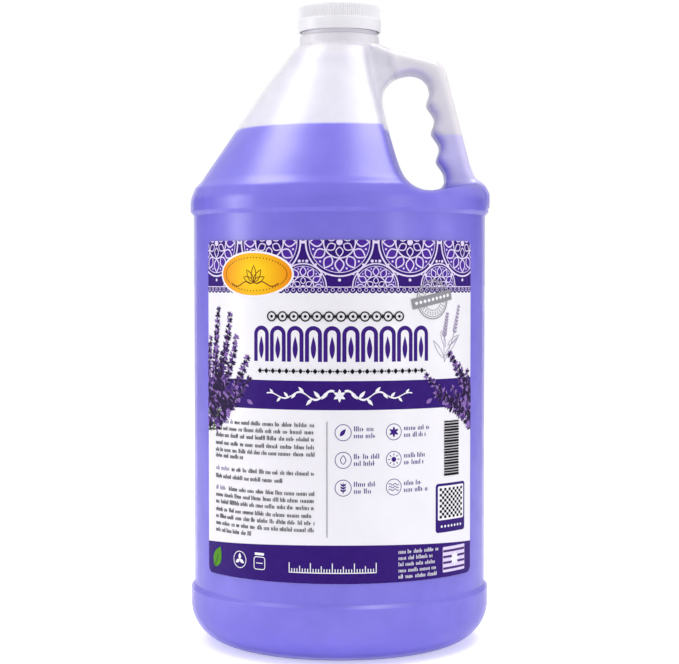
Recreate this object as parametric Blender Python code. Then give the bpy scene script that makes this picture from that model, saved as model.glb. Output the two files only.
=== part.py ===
"""One-gallon oil jug: blow-moulded body with a hollow grip handle, screw cap, liner, label and oil.

Metres, +Z up. The origin is on the jug's turning axis, in the plane that it stands on.
The handle lies in the XZ plane on the +X side, and the label faces -Y.
"""

import math

import bmesh
import bpy
from mathutils import Vector

MM = 0.001

# Body, from the foot up
BAND_RADIUS = 74.4 * MM
PANEL_DEPTH = 1.7 * MM
HEEL_RADIUS = 20.4 * MM
LOWER_BAND_HEIGHT = 7.0 * MM
PANEL_HEIGHT = 186.5 * MM
UPPER_BAND_HEIGHT = 3.9 * MM
BAND_STEP = 1.9 * MM
SHOULDER_RADIUS = 10.0 * MM
CONE_HEIGHT = 60.4 * MM
CONE_TOP_SPREAD = 15.6 * MM
THROAT_HEIGHT = 18.3 * MM
PUSH_UP = 3.6 * MM
PUSH_UP_RAMP = 6.1 * MM
FOOT_WIDTH = 4.0 * MM
WALL = 1.1 * MM

# Neck finish
BORE_RADIUS = 15.9 * MM
NECK_WALL = 1.6 * MM
GROOVE_STEP = 1.3 * MM
RING_STEP = 1.0 * MM
RING_HEIGHT = 5.0 * MM
GROOVE_HEIGHT = 2.0 * MM
FINISH_HEIGHT = 12.5 * MM
NECK_CHAMFER = 0.4 * MM

# Handle and the finger well beside it
HANDLE_HALF_WIDTH = 13.7 * MM
HANDLE_EDGE = 4.0 * MM
HANDLE_CORNER_RADIUS = 11.2 * MM
FINGER_RIDGES = 3
FINGER_DEPTH = 2.7 * MM
FINGER_FADE = 7.1 * MM
WALL_DRAFT = 0.058
FLOOR_DRAFT = 0.025
WELL_BELOW_RING = 0.7 * MM

# Cap and liner
CAP_CLEARANCE = 1.9 * MM
CAP_WALL = 1.3 * MM
CAP_STANDOFF = 2.0 * MM
CAP_TOP_WALL = 1.5 * MM
CAP_EDGE = 2.4 * MM
CAP_BAND_STEP = 0.35 * MM
CAP_BAND_HEIGHT = 7.0 * MM
CAP_RIBS = 120
RIB_DEPTH = 0.35 * MM
LINER_THICKNESS = 1.0 * MM

# Label, inside the recessed panel
LABEL_MARGIN_BELOW = 10.0 * MM
LABEL_MARGIN_ABOVE = 13.2 * MM
LABEL_HALF_ANGLE = math.radians(59.5)
LABEL_THICKNESS = 0.2 * MM
LABEL_CORNER = 3.6 * MM

# Oil, filled to a height above the shoulder
FILL_RISE = 36.7 * MM
HANDLE_FILL_DROP = 2.6 * MM

GAP = 0.3 * MM
TOUCH = 0.001 * MM
SEGMENTS = 60
LABEL_COLUMNS = 40

# Heights and radii that follow from the sizes above
LOWER_BAND_TOP = HEEL_RADIUS + LOWER_BAND_HEIGHT
UPPER_BAND_BOTTOM = LOWER_BAND_TOP + PANEL_HEIGHT
UPPER_BAND_TOP = UPPER_BAND_BOTTOM + UPPER_BAND_HEIGHT
CONE_TOP = UPPER_BAND_TOP + CONE_HEIGHT
NECK_BASE = CONE_TOP + THROAT_HEIGHT
RING_TOP = NECK_BASE + RING_HEIGHT
MOUTH_HEIGHT = RING_TOP + FINISH_HEIGHT
PANEL_RADIUS = BAND_RADIUS - PANEL_DEPTH
NECK_RADIUS = BORE_RADIUS + NECK_WALL
GROOVE_RADIUS = NECK_RADIUS + GROOVE_STEP
RING_RADIUS = GROOVE_RADIUS + RING_STEP
CAP_BORE = NECK_RADIUS + CAP_CLEARANCE
CAP_RADIUS = CAP_BORE + CAP_WALL
LABEL_BOTTOM = LOWER_BAND_TOP + BAND_STEP + LABEL_MARGIN_BELOW
LABEL_TOP = UPPER_BAND_BOTTOM - BAND_STEP - LABEL_MARGIN_ABOVE
FILL_HEIGHT = UPPER_BAND_TOP + FILL_RISE


# ---------------------------------------------------------------- outlines

def arc(centre, radius, start, end, steps):
    """Points of an arc in a plane, with angles in degrees from the first axis."""
    points = []
    for step in range(steps + 1):
        angle = math.radians(start + (end - start) * step / steps)
        points.append((centre[0] + radius * math.cos(angle), centre[1] + radius * math.sin(angle)))
    return points


def rounded_corner(before, corner, after, radius, steps):
    """The arc that rounds a corner between two straight runs."""
    corner = Vector(corner)
    back = (Vector(before) - corner).normalized()
    onward = (Vector(after) - corner).normalized()
    half_angle = 0.5 * back.angle(onward)
    middle = (back + onward).normalized()
    centre = corner + middle * (radius / math.sin(half_angle))
    outward = math.degrees(math.atan2(-middle.y, -middle.x))
    half_turn = 90 - math.degrees(half_angle)
    return arc(centre, radius, outward + half_turn, outward - half_turn, steps)


def smooth_path(points, per_span):
    """An open Catmull-Rom curve through the points."""
    ends = [points[0]] + list(points) + [points[-1]]
    path = []
    for i in range(1, len(ends) - 2):
        before, start, end, after = ends[i - 1:i + 3]
        for step in range(per_span):
            t = step / per_span
            path.append(tuple(
                0.5 * (2 * b + (c - a) * t + (2 * a - 5 * b + 4 * c - d) * t * t
                       + (3 * b - a - 3 * c + d) * t ** 3)
                for a, b, c, d in zip(before, start, end, after)
            ))
    path.append(tuple(points[-1]))
    return path


def offset_path(points, distance, closed):
    """Moves each point to its left by a distance, so that both edges beside it move that far."""
    moved = []
    count = len(points)
    for i, point in enumerate(points):
        here = Vector(point)
        before = Vector(points[i - 1]) if closed or i else None
        after = Vector(points[(i + 1) % count]) if closed or i < count - 1 else None
        normals = []
        for start, end in ((before, here), (here, after)):
            if start is not None and end is not None:
                along = (end - start).normalized()
                normals.append(Vector((-along.y, along.x)))
        normal = sum(normals, Vector((0, 0))).normalized()
        stretch = max(normal.dot(normals[0]), 0.5)
        moved.append(tuple(here + normal * (distance / stretch)))
    return moved


# ---------------------------------------------------------------- body profiles

def outer_profile():
    """The body's outside as radius and height, from the middle of its base to the neck ring."""
    heel_start = BAND_RADIUS - HEEL_RADIUS
    foot_inside = heel_start - FOOT_WIDTH
    profile = [(0.0, PUSH_UP), (foot_inside - PUSH_UP_RAMP, PUSH_UP), (foot_inside, 0.0)]
    profile += arc((heel_start, HEEL_RADIUS), HEEL_RADIUS, -90, 0, 7)
    profile += [
        (BAND_RADIUS, LOWER_BAND_TOP),
        (PANEL_RADIUS, LOWER_BAND_TOP + BAND_STEP),
        (PANEL_RADIUS, UPPER_BAND_BOTTOM - BAND_STEP),
        (BAND_RADIUS, UPPER_BAND_BOTTOM),
    ]
    # The shoulder turns until the cone leaves it as a tangent that meets the throat.
    shoulder = Vector((BAND_RADIUS - SHOULDER_RADIUS, UPPER_BAND_TOP))
    to_throat = Vector((RING_RADIUS + CONE_TOP_SPREAD, CONE_TOP)) - shoulder
    turned = math.atan2(to_throat.y, to_throat.x) - math.acos(SHOULDER_RADIUS / to_throat.length)
    profile += arc(shoulder, SHOULDER_RADIUS, 0, math.degrees(turned), 3)
    throat = [(1.0, 1.0), (0.583, 0.563), (0.167, 0.087), (0.0, 0.0)]
    profile += smooth_path(
        [
            (RING_RADIUS + spread * CONE_TOP_SPREAD, NECK_BASE - drop * THROAT_HEIGHT)
            for spread, drop in throat
        ],
        2,
    )
    return profile


def neck_profile():
    """The outside from the neck ring to the mouth."""
    return [
        (RING_RADIUS, RING_TOP - NECK_CHAMFER),
        (RING_RADIUS - NECK_CHAMFER, RING_TOP),
        (GROOVE_RADIUS, RING_TOP),
        (GROOVE_RADIUS, RING_TOP + GROOVE_HEIGHT),
        (NECK_RADIUS, RING_TOP + GROOVE_HEIGHT + GROOVE_STEP),
        (NECK_RADIUS, MOUTH_HEIGHT - NECK_CHAMFER),
        (NECK_RADIUS - NECK_CHAMFER, MOUTH_HEIGHT),
        (0.0, MOUTH_HEIGHT),
    ]


def inner_profile(depth, top):
    """The body's outside moved in by depth and carried up the bore to a height."""
    bore = BORE_RADIUS - (depth - WALL)
    bore_start = NECK_BASE - WELL_BELOW_RING - GAP
    moved = offset_path(outer_profile(), depth, closed=False)[:-1]
    moved[0] = (0.0, PUSH_UP + depth)
    return moved + [(bore, bore_start), (bore, top), (0.0, top)]


# ---------------------------------------------------------------- handle outlines

def on_cone(across, up):
    """A point in XZ by its share of the way out to the band and up from shoulder to neck."""
    return (across * BAND_RADIUS, UPPER_BAND_TOP + up * (NECK_BASE - UPPER_BAND_TOP))


def finger_edge(softening):
    """The grip's inner edge from top to bottom: ridges that part the fingers, hollows between."""
    top, bottom = Vector(on_cone(0.571, 0.702)), Vector(on_cone(0.671, 0.164))
    depth = FINGER_DEPTH * max(0.0, 1 - softening / FINGER_FADE)
    steps = 8 * FINGER_RIDGES
    points = []
    for step in range(steps + 1):
        share = step / steps
        hollow = (0.5 + 0.5 * math.cos(2 * math.pi * FINGER_RIDGES * share)) ** 0.8
        x, z = top.lerp(bottom, share)
        points.append((x + depth * hollow, z))
    return points


def hole_outline(grow, softening):
    """The finger hole, grown by a distance. It runs clockwise from the top of the grip."""
    rest = [
        (0.712, 0.136), (0.687, 0.097), (0.628, 0.078), (0.539, 0.088), (0.464, 0.128),
        (0.405, 0.203), (0.351, 0.348), (0.305, 0.499), (0.284, 0.621), (0.305, 0.719),
        (0.374, 0.784), (0.468, 0.809), (0.548, 0.792), (0.595, 0.747),
    ]
    outline = finger_edge(softening) + smooth_path([on_cone(*share) for share in rest], 2)
    return offset_path(outline, grow, closed=True)


def handle_outline(inset):
    """The outside of the handle, closed through the body, moved in by a distance."""
    start, corner = on_cone(0.055, 1.042), on_cone(0.69, 0.892)
    flare = [on_cone(0.868, 0.245), on_cone(0.906, 0.164), on_cone(0.961, 0.113)]
    foot = on_cone(0.997, 0.058)
    root = [on_cone(0.955, -0.122), on_cone(0.355, -0.122), on_cone(0.055, 0.097)]
    outline = [start] + rounded_corner(start, corner, flare[0], HANDLE_CORNER_RADIUS, 6)
    outline += smooth_path(flare + [foot], 2) + root
    return offset_path(outline, -inset, closed=True)


def well_edge(grow):
    """The finger well's wall and floor in the XZ plane, from its top out past the band."""
    shares = [
        (0.196, 0.991), (0.204, 0.897), (0.230, 0.755), (0.281, 0.587), (0.331, 0.419),
        (0.379, 0.264), (0.431, 0.159), (0.519, 0.092), (0.628, 0.074), (0.792, 0.102),
        (0.956, 0.136), (1.147, 0.174),
    ]
    return offset_path(smooth_path([on_cone(*share) for share in shares], 2), -grow, closed=False)


# ---------------------------------------------------------------- solids

def new_object(name, mesh_builder, colour=None, roughness=0.4):
    """Makes an object from a function that fills a bmesh. One without a colour is a cutter."""
    mesh = bpy.data.meshes.new(name)
    bm = bmesh.new()
    mesh_builder(bm)
    bmesh.ops.recalc_face_normals(bm, faces=bm.faces)
    bm.to_mesh(mesh)
    bm.free()
    mesh.shade_smooth()
    mesh.set_sharp_from_angle(angle=math.radians(32))
    obj = bpy.data.objects.new(name, mesh)
    bpy.context.collection.objects.link(obj)
    if colour is None:
        obj.hide_render = True
        obj.display_type = "WIRE"
    else:
        mesh.materials.append(plastic(name, colour, roughness))
    return obj


def plastic(name, colour, roughness):
    material = bpy.data.materials.new(name)
    material.use_nodes = True
    shader = material.node_tree.nodes["Principled BSDF"]
    shader.inputs["Base Color"].default_value = (*colour, 1.0)
    shader.inputs["Roughness"].default_value = roughness
    shader.inputs["Metallic"].default_value = 0.0
    return material


def turn(bm, profile):
    """Turns a profile of radius and height about Z into a closed solid."""
    verts = [bm.verts.new((radius, 0.0, height)) for radius, height in profile]
    edges = [bm.edges.new(pair) for pair in zip(verts, verts[1:])]
    bmesh.ops.spin(
        bm, geom=verts + edges, axis=(0, 0, 1), cent=(0, 0, 0),
        angle=2 * math.pi, steps=SEGMENTS, use_merge=True,
    )
    bmesh.ops.remove_doubles(bm, verts=bm.verts, dist=TOUCH)


def sweep_loop(bm, stations):
    """Joins one loop of points to the next along Y. Gives the edges of both end loops."""
    order = bm.verts.layers.int.get("order") or bm.verts.layers.int.new("order")
    first_y, outline = stations[0]
    verts = [bm.verts.new((x, first_y, z)) for x, z in outline]
    for number, vert in enumerate(verts):
        vert[order] = number
    edges = [bm.edges.new((verts[i - 1], verts[i])) for i in range(len(verts))]
    ends = list(edges)
    for y, outline in stations[1:]:
        made = bmesh.ops.extrude_edge_only(bm, edges=edges)["geom"]
        edges = [item for item in made if isinstance(item, bmesh.types.BMEdge)]
        for vert in (item for item in made if isinstance(item, bmesh.types.BMVert)):
            x, z = outline[vert[order]]
            vert.co = (x, y, z)
    ends += edges
    # Splitting the quads one way keeps nested shells parallel where the loops change shape.
    bmesh.ops.triangulate(bm, faces=bm.faces, quad_method="FIXED")
    return ends


def edge_stations(half_width, edge, outline):
    """Loops across Y that round both edges of a bar over the last part of its half width.

    The outline is asked for by how far it moves in, and by that move's share of the whole edge.
    """
    near = []
    for angle in (90, 60, 30, 0):
        share = 1 - math.sin(math.radians(angle))
        drop = 1 - math.cos(math.radians(angle))
        near.append((half_width - edge * share, outline(edge * drop, drop)))
    return [(-y, loop) for y, loop in near] + [(y, loop) for y, loop in reversed(near)]


def bar(bm, shrink):
    """The handle as a bar with its finger hole, every face moved in by a distance."""
    half_width = HANDLE_HALF_WIDTH - shrink
    edge = HANDLE_EDGE - shrink
    moulded = min(shrink, WALL)
    ends = sweep_loop(
        bm,
        edge_stations(half_width, edge, lambda inset, share: handle_outline(inset + shrink)),
    )
    ends += sweep_loop(
        bm,
        edge_stations(
            half_width, edge,
            lambda inset, share: hole_outline(
                inset + shrink, moulded + share * (HANDLE_EDGE - moulded)
            ),
        ),
    )
    for side in (-1, 1):
        fill_rim(bm, ends, side * half_width)


def fill_rim(bm, edges, y):
    """Closes the loops that lie at one place along Y."""
    rim = [e for e in edges if all(abs(v.co.y - y) < TOUCH for v in e.verts)]
    bmesh.ops.triangle_fill(bm, use_beauty=True, edges=rim)


def well(bm, grow):
    """The space cut out of the cone on both sides of the handle, with draft away from XZ."""
    edge = well_edge(grow)
    reach = edge[-1][0]
    top = NECK_BASE - WELL_BELOW_RING - (GAP if grow else 0.0)
    stations = []
    for y in (-reach, 0.0, reach):
        drafted = [(x - WALL_DRAFT * abs(y), z - FLOOR_DRAFT * abs(y)) for x, z in edge]
        drafted[0] = (drafted[0][0], top)
        stations.append((y, drafted + [(reach, top)]))
    ends = sweep_loop(bm, stations)
    for y in (-reach, reach):
        fill_rim(bm, ends, y)


def block(bm, low, high):
    """A box between two corners."""
    bmesh.ops.create_cube(bm, size=1.0)
    for vert in bm.verts:
        vert.co = [b if c > 0 else a for a, b, c in zip(low, high, vert.co)]


def combine(obj, other, operation):
    modifier = obj.modifiers.new(other.name, "BOOLEAN")
    modifier.object = other
    modifier.operation = operation
    modifier.solver = "EXACT"


def moulded_body(name, profile, shrink, colour=None, roughness=0.4):
    """A turned body with its finger well cut away and its handle added."""
    body = new_object(name, lambda bm: turn(bm, profile), colour, roughness)
    combine(body, new_object(name + "_well", lambda bm: well(bm, shrink)), "DIFFERENCE")
    combine(body, new_object(name + "_handle", lambda bm: bar(bm, shrink)), "UNION")
    return body


# ---------------------------------------------------------------- sub-parts

def make_jug():
    jug = moulded_body("jug", outer_profile() + neck_profile(), 0.0, (0.86, 0.85, 0.90), 0.35)
    top = MOUTH_HEIGHT + 2.0 * MM
    cavity = moulded_body("cavity", inner_profile(WALL, top), WALL)
    combine(jug, cavity, "DIFFERENCE")


def make_oil():
    depth = WALL + GAP
    oil = moulded_body(
        "oil", inner_profile(depth, MOUTH_HEIGHT), depth, (0.29, 0.24, 0.80), 0.15
    )
    reach = 2 * BAND_RADIUS
    above = 2 * MOUTH_HEIGHT
    within_hole = on_cone(0.478, 0.4)[0]
    air = new_object(
        "air", lambda bm: block(bm, (-reach, -reach, FILL_HEIGHT), (reach, reach, above))
    )
    handle_air = new_object(
        "handle_air",
        lambda bm: block(
            bm,
            (within_hole, -reach, FILL_HEIGHT - HANDLE_FILL_DROP),
            (reach, reach, above),
        ),
    )
    combine(oil, air, "DIFFERENCE")
    combine(oil, handle_air, "DIFFERENCE")


def make_closure():
    """The liner and the cap, on an empty at the middle of the jug's mouth."""
    seat = bpy.data.objects.new("mouth", None)
    seat.location = (0.0, 0.0, MOUTH_HEIGHT)
    bpy.context.collection.objects.link(seat)
    for piece in (make_liner(), make_cap()):
        piece.parent = seat


def make_liner():
    radius = CAP_BORE - GAP
    top = GAP + LINER_THICKNESS
    profile = [(0.0, GAP), (radius, GAP), (radius, top), (0.0, top)]
    return new_object("liner", lambda bm: turn(bm, profile), (0.88, 0.88, 0.86), 0.7)


def make_cap():
    """A hollow shell with a plain skirt and a ribbed band above it, from the mouth's plane."""
    inside_top = LINER_THICKNESS + 2 * GAP
    top = inside_top + CAP_TOP_WALL
    bottom = CAP_STANDOFF - FINISH_HEIGHT
    band_radius = CAP_RADIUS - CAP_BAND_STEP
    band_bottom = top - CAP_BAND_HEIGHT + CAP_BAND_STEP
    band_top = top - CAP_EDGE
    profile = [
        (0.0, inside_top),
        (CAP_BORE, inside_top),
        (CAP_BORE, bottom),
        (CAP_RADIUS, bottom),
        (CAP_RADIUS, band_bottom - CAP_BAND_STEP),
        (band_radius, band_bottom),
    ]
    profile += arc((band_radius - CAP_EDGE, band_top), CAP_EDGE, 0, 90, 4)
    profile += [(0.0, top)]

    def shell(bm):
        turn(bm, profile)
        cut_ribs(bm, (band_bottom, band_top), band_radius)

    return new_object("cap", shell, (0.90, 0.90, 0.92), 0.35)


def cut_ribs(bm, heights, radius):
    """Divides the rings at both ends of a band and pulls every second point in, leaving ribs."""

    def on_ring(vert):
        near = any(abs(vert.co.z - height) < TOUCH for height in heights)
        return near and vert.co.xy.length > radius - RIB_DEPTH

    def level(edge):
        return abs(edge.verts[0].co.z - edge.verts[1].co.z) < TOUCH

    rings = [edge for edge in bm.edges if level(edge) and all(on_ring(v) for v in edge.verts)]
    bmesh.ops.subdivide_edges(bm, edges=rings, cuts=2 * CAP_RIBS // SEGMENTS - 1)
    for vert in filter(on_ring, bm.verts):
        turns = math.atan2(vert.co.y, vert.co.x) / (2 * math.pi) * CAP_RIBS
        crest = abs(turns - round(turns)) < 0.25
        scale = (radius if crest else radius - RIB_DEPTH) / vert.co.xy.length
        vert.co.x *= scale
        vert.co.y *= scale


def make_label():
    inner = PANEL_RADIUS + GAP
    outer = inner + LABEL_THICKNESS
    half_length = LABEL_HALF_ANGLE * outer

    def wrap(bm):
        bmesh.ops.create_grid(bm, x_segments=LABEL_COLUMNS, y_segments=1, size=1.0)
        for vert in bm.verts:
            along, up = vert.co.x * half_length, vert.co.y
            into_corner = max(0.0, abs(along) - (half_length - LABEL_CORNER))
            rise = LABEL_CORNER - math.sqrt(max(0.0, LABEL_CORNER ** 2 - into_corner ** 2))
            height = LABEL_TOP - rise if up > 0 else LABEL_BOTTOM + rise
            angle = along / outer
            vert.co = (inner * math.sin(angle), -inner * math.cos(angle), height)
        made = bmesh.ops.extrude_face_region(bm, geom=bm.faces[:])["geom"]
        for vert in (item for item in made if isinstance(item, bmesh.types.BMVert)):
            vert.co.x *= outer / inner
            vert.co.y *= outer / inner

    new_object("label", wrap, (0.85, 0.84, 0.88), 0.3)


def main():
    for obj in list(bpy.data.objects):
        bpy.data.objects.remove(obj, do_unlink=True)
    make_jug()
    make_oil()
    make_label()
    make_closure()


main()
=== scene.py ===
"""Looks of a one-gallon oil jug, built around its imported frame.

Metres, +Z up. The jug turns about Z, the handle is on +X and the label faces -Y.
The shell, oil, cap and liner are remade finer than the frame's, and the label is printed here.
"""

import math
import random

import bmesh
import bpy
import numpy as np
from mathutils import Matrix, Vector


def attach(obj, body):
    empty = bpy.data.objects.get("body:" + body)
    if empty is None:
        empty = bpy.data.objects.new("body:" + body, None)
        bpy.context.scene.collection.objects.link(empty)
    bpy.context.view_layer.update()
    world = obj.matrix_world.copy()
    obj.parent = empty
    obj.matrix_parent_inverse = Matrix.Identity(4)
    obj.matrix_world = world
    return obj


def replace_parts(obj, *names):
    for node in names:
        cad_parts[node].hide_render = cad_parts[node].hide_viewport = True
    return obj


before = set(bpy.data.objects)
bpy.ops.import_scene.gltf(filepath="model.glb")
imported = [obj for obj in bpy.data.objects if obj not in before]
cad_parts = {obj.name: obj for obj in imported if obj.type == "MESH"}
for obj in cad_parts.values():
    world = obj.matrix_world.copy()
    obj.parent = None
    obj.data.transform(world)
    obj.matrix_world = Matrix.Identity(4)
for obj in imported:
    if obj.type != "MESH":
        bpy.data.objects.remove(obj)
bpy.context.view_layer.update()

MM = 0.001

# Body sizes, as in the part's source
BAND_RADIUS = 74.4
PANEL_RADIUS = 72.7
HEEL_RADIUS = 20.4
LOWER_BAND_TOP = 27.4
UPPER_BAND_BOTTOM = 213.9
UPPER_BAND_TOP = 217.8
BAND_STEP = 1.9
SHOULDER_RADIUS = 10.0
CREASE_UP = 2.0
CREASE_OUT = 0.75
CONE_TOP = 278.2
CONE_TOP_SPREAD = 15.6
THROAT_HEIGHT = 18.3
PUSH_UP = 3.6
PUSH_UP_RAMP = 6.1
FOOT_WIDTH = 4.0
WALL = 1.1
NECK_BASE = 296.5
RING_RADIUS = 19.8
RING_TOP = 301.5
GROOVE_RADIUS = 18.8
GROOVE_HEIGHT = 2.0
GROOVE_STEP = 1.3
NECK_RADIUS = 17.5
BORE_RADIUS = 15.9
MOUTH_HEIGHT = 314.0
HANDLE_HALF_WIDTH = 13.7
HANDLE_EDGE = 4.0
HANDLE_CORNER_RADIUS = 11.2
FINGER_RIDGES = 3
FINGER_DEPTH = 2.7
WALL_DRAFT = 0.058
FLOOR_DRAFT = 0.025
THREAD_PITCH = 4.233
THREAD_START = 306.4
THREAD_SUNK = 0.25
NECK_THREAD_CREST = 18.7
NECK_THREAD_TURNS = 1.35
CAP_THREAD_CREST = 18.0
CAP_THREAD_TURNS = 1.2
FILL_HEIGHT = 254.5
HANDLE_FILL = 251.9
OIL_GAP = 0.3
WET_LINE = 0.8
CAP_RADIUS = 20.7
CAP_BORE = 19.4
CAP_BOTTOM = 303.5
CAP_TOP = 317.1
CAP_INSIDE_TOP = 315.6
CAP_BAND = 309.0
CAP_STEP = 0.35
CAP_EDGE = 2.4
CAP_DISH = 0.35
CAP_LEAD_IN = 0.3
CAP_RIBS = 120
RIB_DEPTH = 0.35
LINER_GAP = 0.3
LINER_DENT = 0.15
LABEL_RADIUS = 73.2
LABEL_FILM = 0.2
LABEL_HALF = 76.0
LABEL_BOTTOM = 39.3
LABEL_TOP = 198.8
LABEL_CORNER = 3.6
BEND = 2.5
INK_STEP = 0.03
WORD_GAP = 1.1
GOLD_OVAL = (-42.4, 183.0)
GOLD_RIM = "F08C12"

# Where the freely shaped upper part is trimmed, and the rims of the turned parts it is sewn to
TRIM_LOW = 216.0
TRIM_HIGH = 297.0
TURNED_LOW = TRIM_LOW - 0.5
TURNED_HIGH = TRIM_HIGH + 0.5
CUT_DEPTH = 0.01
WELL_END = 140.0
WELL_BLEND = 2.2
HANDLE_BLEND = 4.0
AROUND = 192

# Stage, in degrees, metres and shares of full white
PANEL_AZIMUTH = 47
SKY_LIGHT = 0.585
SKY_MIRRORED = 0.8
AIM_HEIGHT = 0.17
CAMERA_DIP = 1.8


# ---------------------------------------------------------------- outlines, in millimetres

def arc(centre, radius, start, end, steps):
    """Points of an arc, with angles in degrees from the first axis."""
    angles = [math.radians(start + (end - start) * i / steps) for i in range(steps + 1)]
    return [(centre[0] + radius * math.cos(a), centre[1] + radius * math.sin(a)) for a in angles]


def rounded(path, radius, steps=6):
    """An open path with each inner corner rounded, by a smaller radius where its runs are short."""
    out = [path[0]]
    for before, corner, after in zip(path, path[1:], path[2:]):
        c = Vector(corner)
        back, onward = Vector(before) - c, Vector(after) - c
        half = 0.5 * back.angle(onward)
        if half > math.radians(87):
            out.append(corner)
            continue
        reach = min(radius / math.tan(half), 0.45 * back.length, 0.45 * onward.length)
        size = reach * math.tan(half)
        middle = (back.normalized() + onward.normalized()).normalized()
        centre = c + middle * (size / math.sin(half))
        start = c + back.normalized() * reach - centre
        sweep = start.angle_signed(c + onward.normalized() * reach - centre)
        for i in range(steps + 1):
            spoke = start.copy()
            spoke.rotate(Matrix.Rotation(-sweep * i / steps, 2))
            out.append(tuple(centre + spoke))
    return out + [path[-1]]


def smooth_path(points, per_span):
    """An open Catmull-Rom curve through the points."""
    ends = [points[0]] + list(points) + [points[-1]]
    path = []
    for i in range(1, len(ends) - 2):
        before, start, end, after = ends[i - 1:i + 3]
        for step in range(per_span):
            t = step / per_span
            path.append(tuple(
                0.5 * (2 * b + (c - a) * t + (2 * a - 5 * b + 4 * c - d) * t * t
                       + (3 * b - a - 3 * c + d) * t ** 3)
                for a, b, c, d in zip(before, start, end, after)
            ))
    return path + [tuple(points[-1])]


def on_cone(across, up):
    """A point in XZ by its share of the way out to the band and up from shoulder to neck."""
    return (across * BAND_RADIUS, UPPER_BAND_TOP + up * (NECK_BASE - UPPER_BAND_TOP))


def cone_outline(inset):
    """The shoulder, cone and throat in radius and height, moved in by a distance.

    The cone flares a little where it lands on the shoulder and turns down over a soft crease.
    """
    shoulder = Vector((BAND_RADIUS - SHOULDER_RADIUS, UPPER_BAND_TOP))
    to_throat = Vector((RING_RADIUS + CONE_TOP_SPREAD, CONE_TOP)) - shoulder
    turned = math.atan2(to_throat.y, to_throat.x) - math.acos(SHOULDER_RADIUS / to_throat.length)
    lean = Vector((math.cos(turned), math.sin(turned)))
    start = shoulder + lean * SHOULDER_RADIUS
    up = Vector((-lean.y, lean.x))
    throat = smooth_path(
        [
            (RING_RADIUS + spread * CONE_TOP_SPREAD, NECK_BASE - drop * THROAT_HEIGHT)
            for spread, drop in [(1.0, 1.0), (0.583, 0.563), (0.167, 0.087), (0.0, 0.0)]
        ],
        6,
    )
    crease = smooth_path(
        [start + up * 9.0, start + up * 6.0 + lean * 0.05, start + up * CREASE_UP + lean * CREASE_OUT], 6
    )
    moved = [tuple(Vector(p) - lean * inset) for p in crease[::-1] + throat]
    return arc(shoulder, SHOULDER_RADIUS - inset, 0, math.degrees(turned) - 12, 8) + moved


def grip_hole():
    """The finger hole: ridges and hollows down the grip, then round the rest of the hole.

    Its top and its ridges stand up to 1.8 mm higher than the frame's.
    """
    top, bottom = Vector(on_cone(0.571, 0.724)), Vector(on_cone(0.671, 0.187))
    steps = 24 * FINGER_RIDGES
    fingers = []
    for step in range(steps + 1):
        share = step / steps
        hollow = (0.5 + 0.5 * math.cos(2 * math.pi * FINGER_RIDGES * share)) ** 0.8
        x, z = top.lerp(bottom, share)
        fingers.append((x + FINGER_DEPTH * hollow, z))
    rest = [
        (0.712, 0.148), (0.687, 0.101), (0.628, 0.079), (0.539, 0.089), (0.464, 0.129),
        (0.405, 0.204), (0.351, 0.350), (0.305, 0.505), (0.284, 0.631), (0.304, 0.734),
        (0.374, 0.802), (0.468, 0.827), (0.548, 0.811), (0.595, 0.768),
    ]
    return fingers + smooth_path([on_cone(*share) for share in rest], 6)


def handle_outline():
    """The outside of the handle, closed through the body."""
    start, corner = on_cone(0.055, 1.042), on_cone(0.69, 0.892)
    flare = [(0.868, 0.245), (0.906, 0.164), (0.961, 0.113), (0.997, 0.058)]
    flare = [on_cone(*share) for share in flare]
    root = [on_cone(0.955, -0.122), on_cone(0.355, -0.122), on_cone(0.055, 0.097)]
    return rounded([start, corner, flare[0]], HANDLE_CORNER_RADIUS, 16)[:-1] + smooth_path(flare, 6) + root


def well_outline(top):
    """The finger well's wall and floor in XZ up to a height, closed far outside the jug."""
    shares = [
        (0.196, 0.991), (0.204, 0.897), (0.230, 0.755), (0.281, 0.587), (0.331, 0.419),
        (0.379, 0.264), (0.431, 0.159), (0.519, 0.092), (0.628, 0.074), (0.792, 0.102),
        (0.956, 0.136), (1.147, 0.174),
    ]
    edge = smooth_path([on_cone(*share) for share in shares], 6)
    edge = [(x, z) for x, z in edge if z < top]
    return [(edge[0][0], top)] + edge + [(WELL_END, edge[-1][1]), (WELL_END, top)]


# ---------------------------------------------------------------- distances to the outlines

class Distances:
    """Signed distances to a closed outline, kept on a fine grid and read between its points."""

    STEP = 0.25

    def __init__(self, outline, low, high):
        self.low = low
        across = np.arange(low[0], high[0], self.STEP)
        up = np.arange(low[1], high[1], self.STEP)
        x, z = np.meshgrid(across, up, indexing="ij")
        nearest = np.full(x.shape, np.inf)
        inside = np.zeros(x.shape, bool)
        for (ax, az), (bx, bz) in zip(outline, outline[1:] + outline[:1]):
            dx, dz = bx - ax, bz - az
            along = ((x - ax) * dx + (z - az) * dz) / max(dx * dx + dz * dz, 1e-12)
            along = np.clip(along, 0.0, 1.0)
            nearest = np.minimum(nearest, (x - ax - along * dx) ** 2 + (z - az - along * dz) ** 2)
            if az != bz:
                inside ^= ((az > z) != (bz > z)) & (x < dx * (z - az) / dz + ax)
        self.values = np.sqrt(nearest) * np.where(inside, -1.0, 1.0)

    def at(self, x, z):
        """The distances at some places, read in proportion from the four values round each."""
        i = np.clip((x - self.low[0]) / self.STEP, 0, self.values.shape[0] - 1.001)
        j = np.clip((z - self.low[1]) / self.STEP, 0, self.values.shape[1] - 1.001)
        i0, j0 = i.astype(int), j.astype(int)
        i, j = i - i0, j - j0
        v = self.values
        return ((v[i0, j0] * (1 - i) + v[i0 + 1, j0] * i) * (1 - j)
                + (v[i0, j0 + 1] * (1 - i) + v[i0 + 1, j0 + 1] * i) * j)


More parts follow.
